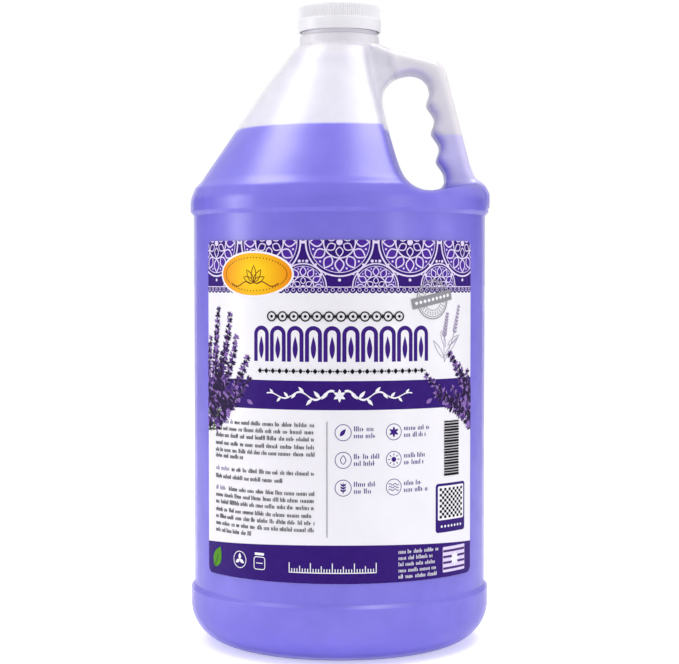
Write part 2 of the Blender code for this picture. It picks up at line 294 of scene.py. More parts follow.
def blended_least(a, b, reach):
    """The smaller of two distances, with a fillet where they are nearly equal."""
    return np.minimum(a, b) - np.maximum(reach - np.abs(a - b), 0.0) ** 2 / (4 * reach)


LOW, HIGH = (-12.0, 200.0), (96.0, 312.0)
HANDLE_FIELD = Distances(handle_outline(), LOW, HIGH)
HOLE_FIELD = Distances(grip_hole(), LOW, HIGH)


def wall_fields(inset, neck, bore_start, well_top):
    """The turned body's and the finger well's distances for one face of the wall."""
    cone = [p for p in cone_outline(inset) if p[1] < bore_start]
    band = BAND_RADIUS - inset
    body = [(-60.0, 120.0), (band, 120.0)] + cone + [(neck, bore_start), (neck, 360.0), (-60.0, 360.0)]
    return Distances(body, LOW, HIGH), Distances(well_outline(well_top), LOW, HIGH)


OUTSIDE = wall_fields(0.0, RING_RADIUS, NECK_BASE, NECK_BASE - 0.7)
INSIDE = wall_fields(WALL, BORE_RADIUS, NECK_BASE - 1.0, NECK_BASE - 1.0 - WALL)


def shell_distance(points, fields, inset):
    """Distance from a wall of the upper jug: the turned body less the well, with the handle on."""
    x, y, z = points.T
    body, well = fields
    side = np.abs(y)
    wall = well.at(x + WALL_DRAFT * side, z + FLOOR_DRAFT * side)
    cone = -blended_least(-body.at(np.hypot(x, y), z), wall - inset, WELL_BLEND)
    q = np.maximum(HANDLE_FIELD.at(x, z), -HOLE_FIELD.at(x, z)) + HANDLE_EDGE
    p = side - (HANDLE_HALF_WIDTH - HANDLE_EDGE)
    handle = np.hypot(np.maximum(q, 0), np.maximum(p, 0)) + np.minimum(np.maximum(q, p), 0)
    joined = blended_least(cone, handle - HANDLE_EDGE + inset, HANDLE_BLEND)
    return np.maximum(joined, x - BAND_RADIUS + inset + 0.02)


# ---------------------------------------------------------------- mesh helpers

def placed(name, data):
    """A new object in the scene, at the origin."""
    thing = bpy.data.objects.new(name, data)
    bpy.context.collection.objects.link(thing)
    return thing


def new_piece(name, bm, body, material, sharp=35):
    """Makes a finished piece from a closed bmesh in metres, smooth but for its sharp edges."""
    bmesh.ops.recalc_face_normals(bm, faces=bm.faces)
    mesh = bpy.data.meshes.new(name)
    bm.to_mesh(mesh)
    bm.free()
    mesh.shade_smooth()
    mesh.set_sharp_from_angle(angle=math.radians(sharp))
    mesh.materials.append(material)
    piece = placed(name, mesh)
    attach(piece, body)
    return piece


def turn(bm, profile, steps):
    """Turns an open profile in millimetres about Z."""
    before = set(bm.verts)
    verts = [bm.verts.new((r * MM, 0.0, z * MM)) for r, z in profile]
    edges = [bm.edges.new(pair) for pair in zip(verts, verts[1:])]
    bmesh.ops.spin(
        bm, geom=verts + edges, axis=(0, 0, 1), cent=(0, 0, 0),
        angle=2 * math.pi, steps=steps, use_merge=True,
    )
    made = [v for v in bm.verts if v not in before]
    bmesh.ops.remove_doubles(bm, verts=made, dist=0.002 * MM)


def cut(bm, point, away, near=0.0, geom=None, clear=True):
    """Cuts a bmesh, or a part of it, with a plane, and clears what lies beyond the plane."""
    if geom is None:
        geom = bm.verts[:] + bm.edges[:] + bm.faces[:]
    bmesh.ops.bisect_plane(
        bm, geom=geom, dist=near, plane_co=point, plane_no=away, clear_outer=clear
    )


def fill_holes(bm):
    bmesh.ops.holes_fill(bm, edges=[e for e in bm.edges if e.is_boundary])


def sew(bm, first, second, low, high):
    """Joins the open rims at two heights whose points lie between two radii, in millimetres."""
    rims = []
    for height in (first, second):
        on_rim = {
            v for v in bm.verts
            if abs(v.co.z / MM - height) < 0.02 and low < v.co.xy.length / MM < high
        }
        rims += [e for e in bm.edges if e.is_boundary and on_rim.issuperset(e.verts)]
    bmesh.ops.bridge_loops(bm, edges=rims)


def frame_walls():
    """The frame jug's outer and inner wall between two heights, each closed at its ends."""
    source = bmesh.new()
    source.from_mesh(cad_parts["jug"].data)
    bmesh.ops.remove_doubles(source, verts=source.verts, dist=0.001 * MM)
    for height, side in ((TRIM_LOW - 2.0, -1), (TRIM_HIGH + 2.5, 1)):
        cut(source, (0, 0, height * MM), (0, 0, side))
    walls = []
    left = set(source.verts)
    while left:
        island, edge = set(), [next(iter(left))]
        while edge:
            vert = edge.pop()
            if vert not in island:
                island.add(vert)
                edge += [e.other_vert(vert) for e in vert.link_edges]
        left -= island
        walls.append(island)
    walls.sort(key=lambda island: -max(v.co.x for v in island))
    meshes = []
    for wall in walls[:2]:
        part = source.copy()
        part.verts.ensure_lookup_table()
        keep = {v.index for v in wall}
        bmesh.ops.delete(part, geom=[v for v in part.verts if v.index not in keep], context="VERTS")
        fill_holes(part)
        bmesh.ops.recalc_face_normals(part, faces=part.faces)
        mesh = bpy.data.meshes.new("wall")
        part.to_mesh(mesh)
        part.free()
        meshes.append(mesh)
    source.free()
    return meshes


def refined_wall(rough, fields, inset, voxel, deeper=0.0):
    """Remeshes a rough closed wall evenly and moves its points onto the exact blended surface."""
    holder = placed("wall", rough)
    remesh = holder.modifiers.new("even", "REMESH")
    remesh.mode = "VOXEL"
    remesh.voxel_size = voxel * MM
    mesh = bpy.data.meshes.new_from_object(
        holder.evaluated_get(bpy.context.evaluated_depsgraph_get())
    )
    bpy.data.objects.remove(holder)
    points = np.empty(len(mesh.vertices) * 3)
    mesh.vertices.foreach_get("co", points)
    points = points.reshape(-1, 3) / MM
    ends = np.empty(len(mesh.edges) * 2, dtype=np.int32)
    mesh.edges.foreach_get("vertices", ends)
    ends = ends.reshape(-1, 2)
    neighbours = np.bincount(ends.ravel(), minlength=len(points))[:, None]
    height = points[:, 2]
    free = ((height > TRIM_LOW - 0.9) & (height < TRIM_HIGH + 1.2))[:, None]

    def settle(rounds):
        nonlocal points
        reach = 0.3
        for _ in range(rounds):
            here = shell_distance(points, fields, inset) + deeper
            slope = np.stack([
                shell_distance(points + step, fields, inset) - shell_distance(points - step, fields, inset)
                for step in np.eye(3) * reach
            ], axis=1) / (2 * reach)
            steep = np.maximum((slope ** 2).sum(axis=1), 0.2)
            points = points - free * np.clip(here / steep, -1.5, 1.5)[:, None] * slope

    settle(3)
    for _ in range(4):
        total = np.zeros_like(points)
        for axis in range(3):
            for a, b in ((0, 1), (1, 0)):
                total[:, axis] += np.bincount(
                    ends[:, a], weights=points[ends[:, b], axis], minlength=len(points)
                )
        points = points + 0.6 * free * (total / neighbours - points)
        settle(1)
    settle(2)
    mesh.vertices.foreach_set("co", (points * MM).ravel())
    return mesh


def trimmed(bm, mesh, low, high):
    """Adds a wall to a bmesh, cut off level at two heights in millimetres."""
    before = set(bm.verts)
    bm.from_mesh(mesh)
    for height, side in ((low, -1), (high, 1)):
        made = [v for v in bm.verts if v not in before]
        linked = {item for v in made for item in (*v.link_edges, *v.link_faces)}
        cut(bm, (0, 0, height * MM), (0, 0, side), CUT_DEPTH * MM, made + list(linked))


# ---------------------------------------------------------------- jug and oil

def base_profile(inset):
    """The turned lower jug from the middle of its base up to the trim, moved in by a distance."""
    heel = BAND_RADIUS - HEEL_RADIUS
    foot = heel - FOOT_WIDTH
    base = rounded(
        [(0.0, PUSH_UP), (foot - PUSH_UP_RAMP, PUSH_UP), (foot, 0.0), (heel, 0.0)], 2.5
    )[:-1]
    base = [(r, z + inset) for r, z in base]
    band, panel = BAND_RADIUS - inset, PANEL_RADIUS - inset
    side = rounded(
        [
            (band, HEEL_RADIUS), (band, LOWER_BAND_TOP), (panel, LOWER_BAND_TOP + BAND_STEP),
            (panel, UPPER_BAND_BOTTOM - BAND_STEP), (band, UPPER_BAND_BOTTOM), (band, TURNED_LOW),
        ],
        0.8,
    )
    return base + arc((heel, HEEL_RADIUS), HEEL_RADIUS - inset, -90, 0, 24) + side[1:]


def neck_profile():
    """Up the neck ring, over the mouth and down the bore."""
    return rounded(
        [
            (RING_RADIUS, TURNED_HIGH), (RING_RADIUS, RING_TOP), (GROOVE_RADIUS, RING_TOP),
            (GROOVE_RADIUS, RING_TOP + GROOVE_HEIGHT),
            (NECK_RADIUS, RING_TOP + GROOVE_HEIGHT + GROOVE_STEP),
            (NECK_RADIUS, MOUTH_HEIGHT), (BORE_RADIUS, MOUTH_HEIGHT), (BORE_RADIUS, TURNED_HIGH),
        ],
        0.45, 4,
    )


def make_jug_shell(outer, inner, material):
    """One closed wall: turned base, freely shaped cone and handle, turned neck, and back inside."""
    bm = bmesh.new()
    turn(bm, base_profile(0.0), AROUND)
    turn(bm, base_profile(WALL), AROUND)
    turn(bm, neck_profile(), AROUND)
    for wall, below, above in (
        (outer, (BAND_RADIUS - WALL / 2, 90), (18, 30)),
        (inner, (60, 90), (10, 18)),
    ):
        trimmed(bm, wall, TRIM_LOW, TRIM_HIGH)
        sew(bm, TURNED_LOW, TRIM_LOW, *below)
        sew(bm, TURNED_HIGH, TRIM_HIGH, *above)
    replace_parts(new_piece("jug_shell", bm, "jug_body", material), "jug")


def make_oil(wall, material):
    """The oil, level at its fill and a little lower in the handle's far side."""
    bm = bmesh.new()
    turn(bm, base_profile(WALL + OIL_GAP), AROUND)
    trimmed(bm, wall, TRIM_LOW, FILL_HEIGHT)
    sew(bm, TURNED_LOW, TRIM_LOW, 60, 90)
    past_hole, over_band = on_cone(0.478, 0.4)[0] * MM, 0.24
    middles = {f: f.calc_center_median() for f in bm.faces}
    in_handle = [f for f, at in middles.items() if at.x > past_hole and at.z > over_band]
    linked = {item for f in in_handle for item in (*f.edges, *f.verts)}
    cut(bm, (0, 0, HANDLE_FILL * MM), (0, 0, 1), CUT_DEPTH * MM, in_handle + list(linked))
    fill_holes(bm)
    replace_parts(new_piece("oil_fill", bm, "jug_body", material), "oil")


# ---------------------------------------------------------------- neck, cap and liner

def thread(root, crest, start, turns):
    """A right-hand thread ridge from a start height, run out at both ends, in millimetres."""
    bm = bmesh.new()
    half_root, half_crest = 1.1, 0.45
    ridge = [(root, -half_root), (crest, -half_crest), (crest, half_crest), (root, half_root)]
    verts = [bm.verts.new((r * MM, 0.0, (start + h) * MM)) for r, h in ridge]
    edges = [bm.edges.new((verts[i - 1], verts[i])) for i in range(len(verts))]
    steps = round(turns * 72)
    bmesh.ops.spin(
        bm, geom=verts + edges, axis=(0, 0, 1), cent=(0, 0, 0), angle=2 * math.pi * turns,
        dvec=(0, 0, THREAD_PITCH * turns / steps * MM), steps=steps,
    )
    fill_holes(bm)
    for vert in bm.verts:
        radius, height = vert.co.xy.length / MM, vert.co.z / MM
        angle = math.atan2(vert.co.y, vert.co.x) / (2 * math.pi)
        along = angle + round((height - start) / THREAD_PITCH - angle)
        run_out = min(1.0, max(0.0, along / 0.1), max(0.0, (turns - along) / 0.1))
        vert.co.xy *= (root + (radius - root) * run_out) / radius
    return bm


def make_neck_thread(material):
    bm = thread(NECK_RADIUS - THREAD_SUNK, NECK_THREAD_CREST, THREAD_START, NECK_THREAD_TURNS)
    new_piece("neck_thread", bm, "jug_body", material)


def make_cap_thread(material):
    """The cap's ridge, which runs half a pitch off the neck's: a quarter up and a quarter turned."""
    start = THREAD_START + THREAD_PITCH / 4
    bm = thread(CAP_BORE + THREAD_SUNK, CAP_THREAD_CREST, start, CAP_THREAD_TURNS)
    bmesh.ops.rotate(bm, verts=bm.verts, matrix=Matrix.Rotation(-math.pi / 2, 3, "Z"))
    new_piece("cap_thread", bm, "closure", material)


def make_cap(material):
    """The cap: plain skirt, a ribbed band above it, a soft top edge and a slightly dished top."""
    band, lead_in, top = CAP_RADIUS - CAP_STEP, CAP_BORE + CAP_LEAD_IN, CAP_TOP
    outer = rounded([(lead_in, CAP_BOTTOM), (CAP_RADIUS, CAP_BOTTOM), (CAP_RADIUS, CAP_BAND)], 0.5, 4)
    outer += rounded(
        [(CAP_RADIUS, CAP_BAND + 0.05), (band, CAP_BAND + 0.4), (band, CAP_BAND + 1.0)], 0.2, 3
    )
    outer += [(band, CAP_BAND + 1.0 + 0.4 * i) for i in range(1, 12)]
    outer += arc((band - CAP_EDGE, top - CAP_EDGE), CAP_EDGE, 0, 90, 10)
    outer += rounded([(17.2, top), (16.6, top - CAP_DISH), (0.0, top - CAP_DISH)], 0.5, 4)
    inner = rounded(
        [
            (0.0, CAP_INSIDE_TOP), (CAP_BORE, CAP_INSIDE_TOP), (CAP_BORE, CAP_BOTTOM + 0.7),
            (lead_in, CAP_BOTTOM),
        ],
        0.5, 4,
    )
    bm = bmesh.new()
    turn(bm, inner + outer[1:], 8 * CAP_RIBS)
    for vert in bm.verts:
        radius, height = vert.co.xy.length / MM, vert.co.z / MM
        outside = radius > CAP_BORE + 0.05 or height > CAP_INSIDE_TOP + 0.1
        if outside and height > CAP_BAND + 0.3:
            fade = min(1.0, (height - CAP_BAND - 0.3) / 0.4, max(0.0, (top - 0.15 - height) / 1.6))
            angle = math.atan2(vert.co.y, vert.co.x)
            hollow = (0.5 - 0.5 * math.cos(CAP_RIBS * angle)) ** 0.7
            vert.co.xy *= 1 - RIB_DEPTH * fade * hollow / max(radius, 1.0)
    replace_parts(new_piece("cap_shell", bm, "closure", material, sharp=50), "cap")


def make_liner(material):
    """A foam disc with a ring pressed into its underside by the mouth's rim."""
    radius, low, high = CAP_BORE - LINER_GAP, MOUTH_HEIGHT + LINER_GAP, CAP_INSIDE_TOP - LINER_GAP
    pressed = low + LINER_DENT
    profile = rounded(
        [
            (0.0, low), (BORE_RADIUS - 0.3, low), (BORE_RADIUS, pressed), (NECK_RADIUS, pressed),
            (NECK_RADIUS + 0.3, low), (radius, low), (radius, high), (0.0, high),
        ],
        0.25, 4,
    )
    bm = bmesh.new()
    turn(bm, profile, 96)
    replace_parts(new_piece("liner_disc", bm, "seal", material), "liner")


# ---------------------------------------------------------------- flat printing, in millimetres

def wrapped(name, bm, depth, thickness, material):
    """Gives flat shapes a thickness, bends them round the panel and makes them a piece.

    X is the distance along the label from its middle, and Y is the height above the floor.
    """
    limits = [c.co.x for c in bm.verts]
    for i in range(math.ceil(min(limits) / BEND), math.floor(max(limits) / BEND) + 1):
        cut(bm, (i * BEND, 0, 0), (1, 0, 0), 0.001, clear=False)
    made = bmesh.ops.extrude_face_region(bm, geom=bm.faces[:])["geom"]
    raised = {item for item in made if isinstance(item, bmesh.types.BMVert)}
    for vert in bm.verts:
        angle = vert.co.x / LABEL_RADIUS
        radius = LABEL_RADIUS + depth + (thickness if vert in raised else 0.0)
        vert.co = Vector((radius * math.sin(angle), -radius * math.cos(angle), vert.co.y)) * MM
    return new_piece(name, bm, "jug_body", material)


def patch(bm, outline):
    return bm.faces.new([bm.verts.new((x, y, 0.0)) for x, y in outline])


def block(low, high, corners=(0, 0, 0, 0)):
    """A rectangle's outline with its own radius at each corner, from low left anticlockwise."""
    (x0, y0), (x1, y1) = low, high
    outline = []
    places = [(x0, y0, 1, 1, 180), (x1, y0, -1, 1, 270), (x1, y1, -1, -1, 0), (x0, y1, 1, -1, 90)]
    for (x, y, right, up, start), radius in zip(places, corners):
        if radius:
            outline += arc((x + right * radius, y + up * radius), radius, start, start + 90, 8)
        else:
            outline.append((x, y))
    return outline


def disc(bm, x, y, across, tall=None, lean=0.0, sides=16):
    """An ellipse by its half width and half height, leaning by an angle in degrees."""
    place = Matrix.Translation((x, y, 0)) @ Matrix.Rotation(math.radians(lean), 4, "Z")
    place = place @ Matrix.Diagonal((across, tall or across, 1, 1))
    bmesh.ops.create_circle(bm, cap_ends=True, segments=sides, radius=1.0, matrix=place)


def stroke(bm, path, width, closed=False):
    """A line of a width along a path; a list of widths lets it swell and taper."""
    points = [Vector(p) for p in path]
    count = len(points)
    widths = width if isinstance(width, list) else [width] * count
    left, right = [], []
    for i, here in enumerate(points):
        before = points[i - 1] if closed or i else here
        after = points[(i + 1) % count] if closed or i < count - 1 else here
        along = (after - before).normalized()
        side = Vector((-along.y, along.x)) * widths[i] / 2
        left.append(here + side)
        right.append(here - side)
    lower = [bm.verts.new((p.x, p.y, 0.0)) for p in right]
    across = dict(zip(lower, left))
    edges = [bm.edges.new(pair) for pair in zip(lower, lower[1:] + lower[:1] * closed)]
    made = bmesh.ops.extrude_edge_only(bm, edges=edges)["geom"]
    for vert in (item for item in made if isinstance(item, bmesh.types.BMVert)):
        partner = next(e.other_vert(vert) for e in vert.link_edges if e.other_vert(vert) in across)
        vert.co = (*across[partner], 0.0)


def ring(bm, x, y, radius, width, steps=32):
    stroke(bm, arc((x, y), radius, 0, 360, steps)[:-1], width, closed=True)


def almond(x, y, lean, length, width, steps):
    """A leaf or petal outline from its foot, leaning from upright by an angle in degrees."""
    turned = Matrix.Rotation(math.radians(-lean), 2)
    sides = []
    for side in (1, -1):
        for i in range(steps):
            share = i / steps if side == 1 else 1 - i / steps
            bulge = side * width / 2 * math.sin(math.pi * share ** 0.85)
            sides.append(tuple(Vector((x, y)) + turned @ Vector((bulge, length * share))))
    return sides


def leaf(bm, x, y, lean, length, width, line=0.0, steps=7):
    """An almond, filled or drawn with a line of a width."""
    outline = almond(x, y, lean, length, width, steps)
    if line:
        stroke(bm, outline, line, closed=True)
    else:
        patch(bm, outline)


def flower(bm, x, y, petals, length, width):
    for i in range(petals):
        leaf(bm, x, y, 360 * i / petals, length, width)


def rays(bm, x, y, count, inner, outer, width):
    """Even strokes between two radii all round a point."""
    for i in range(count):
        out = heading(360 * i / count)
        stroke(bm, [Vector((x, y)) + out * inner, Vector((x, y)) + out * outer], width)


def cut_away(bm, point, away):
    """Clears what lies beyond a line."""
    cut(bm, (*point, 0), (*away, 0), 0.0005)


def heading(lean):
    """A step of one in a direction that leans from upright by an angle in degrees."""
    return Vector((math.sin(math.radians(lean)), math.cos(math.radians(lean))))


def clipped(bm):
    """Removes what lies off the label, whose corners are round."""
    half, low, high = LABEL_HALF - 0.02, LABEL_BOTTOM + 0.02, LABEL_TOP - 0.02
    sides = ((half, 0), (1, 0)), ((-half, 0), (-1, 0)), ((0, low), (0, -1)), ((0, high), (0, 1))
    for point, away in sides:
        cut_away(bm, point, away)
    for right, up in ((1, 1), (-1, 1), (1, -1), (-1, -1)):
        level = (high if up == 1 else low) - up * LABEL_CORNER
        corner = Vector((right * (half - LABEL_CORNER), level))
        for lean in (22.5, 45.0, 67.5):
            away = heading(lean) * Vector((right, up))
            cut_away(bm, corner + away * LABEL_CORNER, away)


def tick_words(bm, left, right, base, height, chance, weight=0.34):
    """A line of upright ticks grouped like words, which no one can read."""
    x, middle = left, base + 0.5 * height
    while x < right - weight:
        end = min(x + chance.uniform(2.0, 6.5), right)
        while x < end - weight:
            tall = height * chance.choice((1.0, 1.0, 0.9, 1.45))
            patch(bm, block((x, base), (x + weight, base + tall)))
            x += weight + height * chance.uniform(0.2, 0.34)
        stroke(bm, [(x - 1.6 * weight, middle), (end - 0.2, middle)], 0.2)
        x = end + WORD_GAP


# ---------------------------------------------------------------- what is printed

def rosette(ink, x, y, size, petals):
    """A lace rosette: rings of outlined petals over a brighter ground, with picots round it."""
    lace, line = ink["lilac"], 0.03 * size + 0.14
    centre = Vector((x, y))
    ring(ink["violet"], x, y, 0.7 * size, 0.34 * size, 48)
    ring(lace, x, y, 0.96 * size, 1.2 * line, 64)
    ring(lace, x, y, 0.86 * size, 0.5 * line, 64)
    ring(lace, x, y, 0.45 * size, line, 48)
    disc(lace, x, y, 0.09 * size)
    for i in range(petals):
        lean = 360 * i / petals
        out, between = heading(lean), heading(lean + 180 / petals)
        leaf(lace, *(centre + out * 0.47 * size), lean, 0.37 * size, 3.0 * size / petals, line)
        disc(lace, *(centre + out * 1.07 * size), 0.045 * size, sides=10)
        disc(lace, *(centre + between * 0.77 * size), 0.03 * size, sides=8)
    for i in range(petals // 2):
        lean = 720 * i / petals
        foot = centre + heading(lean) * 0.14 * size
        leaf(lace, *foot, lean, 0.28 * size, 0.2 * size, 0.8 * line)


def lace_header(ink):
    """A purple band with a scalloped edge, under rosettes that hang and rise by turns."""
    low = 175.4
    patch(ink["purple"], block((-LABEL_HALF, low), (LABEL_HALF, LABEL_TOP)))
    for x in (-68, -34, 0, 34, 68):
        rosette(ink, x, LABEL_TOP - 1.0, 16.4, 12)
    for x in (-51, -17, 17, 51):
        rosette(ink, x, low + 1.5, 11.4, 12)
    for name in ("violet", "lilac"):
        cut_away(ink[name], (0, low + 1.5), (0, -1))
    for i in range(-25, 26):
        disc(ink["purple"], 3.1 * i, low, 1.55, 1.3, sides=12)
        ring(ink["lilac"], 3.1 * i, low + 0.35, 0.75, 0.26, 12)
    stroke(ink["lilac"], [(-LABEL_HALF, low + 1.6), (LABEL_HALF, low + 1.6)], 0.4)


def gold_oval(ink):
    """A plain gold oval with a white rim, a beaded line and a fan of five leaves."""
    (x, y), across, tall = GOLD_OVAL, 20.6, 10.4
    disc(ink["white"], x, y, across + 0.5, tall + 0.5, sides=64)
    disc(ink["gold"], x, y, across - 0.5, tall - 0.5, sides=64)
    for i in range(60):
        turned = 2 * math.pi * i / 60
        disc(ink["amber"], x + 17.7 * math.cos(turned), y + 7.8 * math.sin(turned), 0.3, sides=8)
    for lean, length in ((-66, 6.6), (-34, 7.4), (0, 8.2), (34, 7.4), (66, 6.6)):
        leaf(ink["amber"], x, y - 4.0, lean, length, 2.7, 0.42)
    for side in (1, -1):
        tendril = [(x + side * (1.5 + t), y - 4.6 + 1.1 * math.sin(t * 0.55)) for t in range(13)]
        stroke(ink["amber"], tendril, 0.5)


def grey_stamp(ink):
    """A plain ribbed seal with an empty banner across it."""
    middle, grey = Vector((46.9, 171.2)), ink["grey"]
    for radius, width in ((9.2, 0.45), (8.2, 0.25), (5.2, 0.25)):
        ring(grey, *middle, radius, width, 48)
    rays(grey, *middle, 28, 5.9, 7.5, 0.3)
    along = heading(79)
    stroke(grey, [middle - along * 12.2, middle + along * 12.2], 5.0)
    for i in range(-4, 5):
        disc(ink["white_over"], *(middle + along * 2.4 * i), 0.8, sides=12)


def title_friezes(ink):
    """Three bands of plain ornament: rings and dots, a bold arcade of leaves, and lozenges."""
    black, title = ink["black"], ink["title"]
    for i in range(12):
        x = -32.6 + 5.55 * i
        ring(black, x, 163.4, 2.1, 0.62, 24)
        disc(black, x, 163.4, 0.7, sides=12)
        if i < 11:
            disc(black, x + 2.78, 163.4, 0.36, 1.1, sides=10)
    for i in range(10):
        x = -38.2 + 8.7 * i
        arch = [(x - 3.05, 142.4)] + arc((x, 155.0), 3.05, 180, 0, 12) + [(x + 3.05, 142.4)]
        stroke(title, arch, 1.95)
        leaf(title, x, 143.6, 0, 10.6, 2.5, steps=9)
    for i in range(24):
        x = -38.9 + 3.45 * i
        patch(black, [(x - 1.15, 138.0), (x, 136.7), (x + 1.15, 138.0), (x, 139.3)])
        disc(black, x + 1.72, 138.0, 0.4, sides=8)


def ribbon(ink):
    """A purple ribbon with a white scroll of leaves in its middle."""
    patch(ink["purple"], block((-LABEL_HALF, 120.1), (LABEL_HALF, 133.6)))
    white, level = ink["white"], 126.8

    def scroll(x):
        return level + 2.4 * math.sin(x * 0.42) * (1 - x / 60)

    for side in (1, -1):
        steps = np.arange(2.4, 36, 0.8)
        swell = [0.4 + 0.8 * abs(math.sin(0.42 * x)) * (1 - x / 44) for x in steps]
        stroke(white, [(side * x, scroll(x)) for x in steps], swell)
        for i in range(8):
            x, up = 5.2 + 3.8 * i, 1 if i % 2 else -1
            lean = side * (90 - up * 48)
            leaf(white, side * x, scroll(x), lean, 4.8 - 0.3 * i, 1.7 - 0.08 * i)
    flower(white, 0, level, 6, 3.1, 1.5)


def sprig(ink, foot, tip, bend, chance):
    """A lavender sprig: a bending stem with narrow leaves, under whorls of pointed florets."""
    foot, tip = Vector(foot), Vector(tip)
    length = (tip - foot).length
    aside = Vector((tip.y - foot.y, foot.x - tip.x)) * bend

    def place(share):
        return foot.lerp(tip, share) + aside * 4 * share * (1 - share)

    stroke(ink["green"], [place(i / 8) for i in range(9)], [0.7 - 0.04 * i for i in range(9)])
    lean = math.degrees(math.atan2(tip.x - foot.x, tip.y - foot.y))
    for share, side in ((0.1, 1), (0.2, -1)):
        leaf(ink["green"], *place(share), lean + side * 34, 0.22 * length, 1.2)
    whorls = max(3, round(0.68 * length / 2.7))
    for i in range(whorls):
        share = 0.32 + 0.68 * i / (whorls - 1)
        size = 1.0 - 0.45 * i / (whorls - 1)
        here, ahead = place(share), place(share + 0.02)
        lean = math.degrees(math.atan2(ahead.x - here.x, ahead.y - here.y))
        for spread in (-96, 96, -62, 62, -34, 34, 4):
            colour = chance.choice(FLORETS)
            turned = lean + spread + chance.uniform(-16, 16)
            long, wide = size * chance.uniform(3.0, 4.8), size * chance.uniform(1.3, 2.1)
            leaf(ink[colour], *here, turned, long, wide, steps=5)


def lavender(ink, chance):
    """Loose bunches at both ends of the ribbon, and a fine drawn sprig over the right one."""
    left = [
        ((-70, 110), (-66.5, 166), -0.02), ((-74, 112), (-57.5, 163.5), 0.04),
        ((-76, 110), (-53.5, 153), 0.08),
        ((-76, 112), (-46.5, 143.5), 0.1), ((-76, 110), (-45.5, 133.5), 0.08),
        ((-76, 108), (-56, 122.5), 0.1),
        ((-78, 116), (-73.5, 152), 0.0), ((-79, 112), (-63.5, 145), 0.04), ((-79, 110), (-60.5, 134), 0.06),
        ((-80, 114), (-68, 131), 0.04), ((-79, 106), (-69, 122), 0.04),
    ]
    right = [
        ((78, 112), (58.5, 145), 0.03), ((78, 114), (43.5, 135), -0.06), ((79, 114), (49, 126.5), -0.05),
        ((79, 112), (65.5, 139), 0.03), ((79, 112), (72.5, 136), 0.0), ((79, 113), (60, 129), -0.05),
        ((80, 108), (70, 126), 0.0), ((80, 106), (66.5, 120.5), -0.04),
    ]
    for foot, tip, bend in left + right:
        sprig(ink, foot, tip, bend, chance)
    for x, y, lean in ((-46.5, 124.0, 118), (43.0, 122.5, 60)):
        leaf(ink["bud_light"], x, y, lean, 4.2, 2.0)
    mauve, root = ink["mauve"], Vector((54.4, 141.5))
    for tip, bend in ((Vector((56.6, 165.0)), -1.2), (Vector((65.2, 168.6)), 1.5)):
        path = [root.lerp(tip, i / 10) + Vector((bend * math.sin(math.pi * i / 10), 0)) for i in range(11)]
        stroke(mauve, path, 0.32)
        lean = math.degrees(math.atan2(tip.x - root.x, tip.y - root.y))
        for i in range(8):
            here = path[5].lerp(path[10], i / 8)
            for side in (-1, 1):
                leaf(mauve, *here, lean + side * 38, 2.7 - 0.14 * i, 1.0, steps=5)
    for x, y, lean, length in (
        (54.2, 143.0, -38, 11.5), (54.6, 144.5, 48, 13.5), (55.2, 148.5, -22, 8.5), (56.6, 149.5, 62, 10.0),
    ):
        leaf(mauve, x, y, lean, length, 2.2, 0.3)


def small_print(ink, chance):
    """Blocks of upright ticks where the small print goes."""
    left, right, black = -68.6, -11.6, ink["black"]
    blocks = (
        (13, (112.9, 109.6, 106.3, 102.6, 99.3), (96.5, -49)),
        (11, (90.4,), (86.6, -27)),
        (9, (81.0, 77.7, 74.4, 70.7, 67.4, 64.1), (60.8, -44)),
    )
    for head, lines, (last, end) in blocks:
        tick_words(ink["title"], left, left + head, lines[0] - 0.8, 1.5, chance)
        starts = [left + head + 1.2] + [left] * len(lines)
        ends = [right] * len(lines) + [end]
        for start, stop, line in zip(starts, ends, (*lines, last)):
            tick_words(black, start, stop, line - 0.8, 1.45, chance)
    stroke(ink["grey"], [(-5.8, 61.0), (-5.8, 114.8)], 0.4)


def ring_icons(ink, chance):
    """Six ringed motifs, a leaf, a drop, a sprig, a flower, a sun and a wave, with ticks beside."""
    line = ink["title"]
    for x, caption, width in ((1.7, 6.7, 12.0), (25.8, 31.0, 14.5)):
        for z in (109.7, 96.9, 84.0):
            ring(line, x, z, 3.75, 0.32)
            for base in (z + 1.0 - 0.4, z - 2.2 - 0.4):
                end = caption + width * chance.uniform(0.7, 1.0)
                tick_words(line, caption, end, base, 1.6, chance, 0.46)
    leaf(line, 0.2, 108.0, 38, 4.4, 1.9)
    leaf(line, 1.7, 95.0, 0, 4.2, 2.5, 0.36)
    stroke(line, [(1.7, 81.4), (1.7, 86.4)], 0.35)
    for i in range(3):
        for side in (1, -1):
            leaf(line, 1.7, 82.2 + 1.3 * i, side * 48, 1.9, 0.8)
    flower(line, 25.8, 109.7, 6, 2.6, 1.2)
    disc(line, 25.8, 96.9, 1.2)
    rays(line, 25.8, 96.9, 8, 1.8, 2.8, 0.36)
    for level in (82.7, 84.0, 85.3):
        stroke(line, [(23.3 + 0.5 * i, level + 0.45 * math.sin(i * 1.25)) for i in range(11)], 0.34)


def tallies(ink):
    """A ladder of even bars, and a framed check of squares over a purple tab."""
    for i in range(20):
        z = 88.1 + 1.32 * i
        stroke(ink["black"], [(54.3, z), (64.9, z)], (1.1, 0.75, 0.95, 0.7)[i % 4])
    patch(ink["purple"], block((48.9, 60.7), (70.2, 84.0), (1.6,) * 4))
    patch(ink["white"], block((50.2, 66.6), (68.9, 82.8), (0.8,) * 4))
    for i in range(11):
        for j in range(11):
            if (i + j) % 2 == 0:
                x, z = 51.3 + 1.5 * i, 67.5 + 1.3 * j
                patch(ink["black"], block((x, z), (x + 1.47, z + 1.28)))
    for i in range(-3, 4):
        disc(ink["white"], 59.6 + 2.3 * i, 63.6, 0.62, sides=10)


